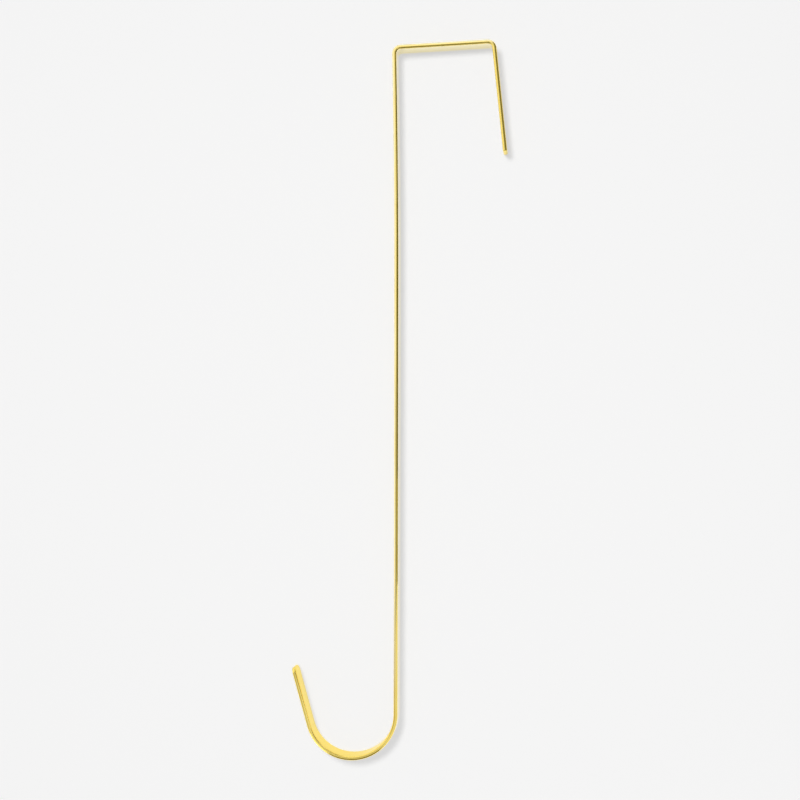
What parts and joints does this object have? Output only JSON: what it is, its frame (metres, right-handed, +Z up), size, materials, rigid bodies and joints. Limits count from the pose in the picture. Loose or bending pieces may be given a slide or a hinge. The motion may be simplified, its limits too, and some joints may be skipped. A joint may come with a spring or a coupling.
{
  "type": "over-the-door hook",
  "caption": "Flat strip bent into a slim hook that hangs over the top of a door, with a short lip behind it, a long shank in front and a round J hook at the bottom for a wreath or bag.",
  "frame": {"origin": "middle of the bar's underside, which rests on the top edge of the door", "axes": "+Z up as it hangs, +X from the front of the door to its back, Y along the strip's width"},
  "size_m": [0.0993, 0.012, 0.3322],
  "materials": {
    "polished_brass": "polished"
  },
  "bodies": {
    "root": {"door_hook": "polished_brass"}
  },
  "joints": []
}
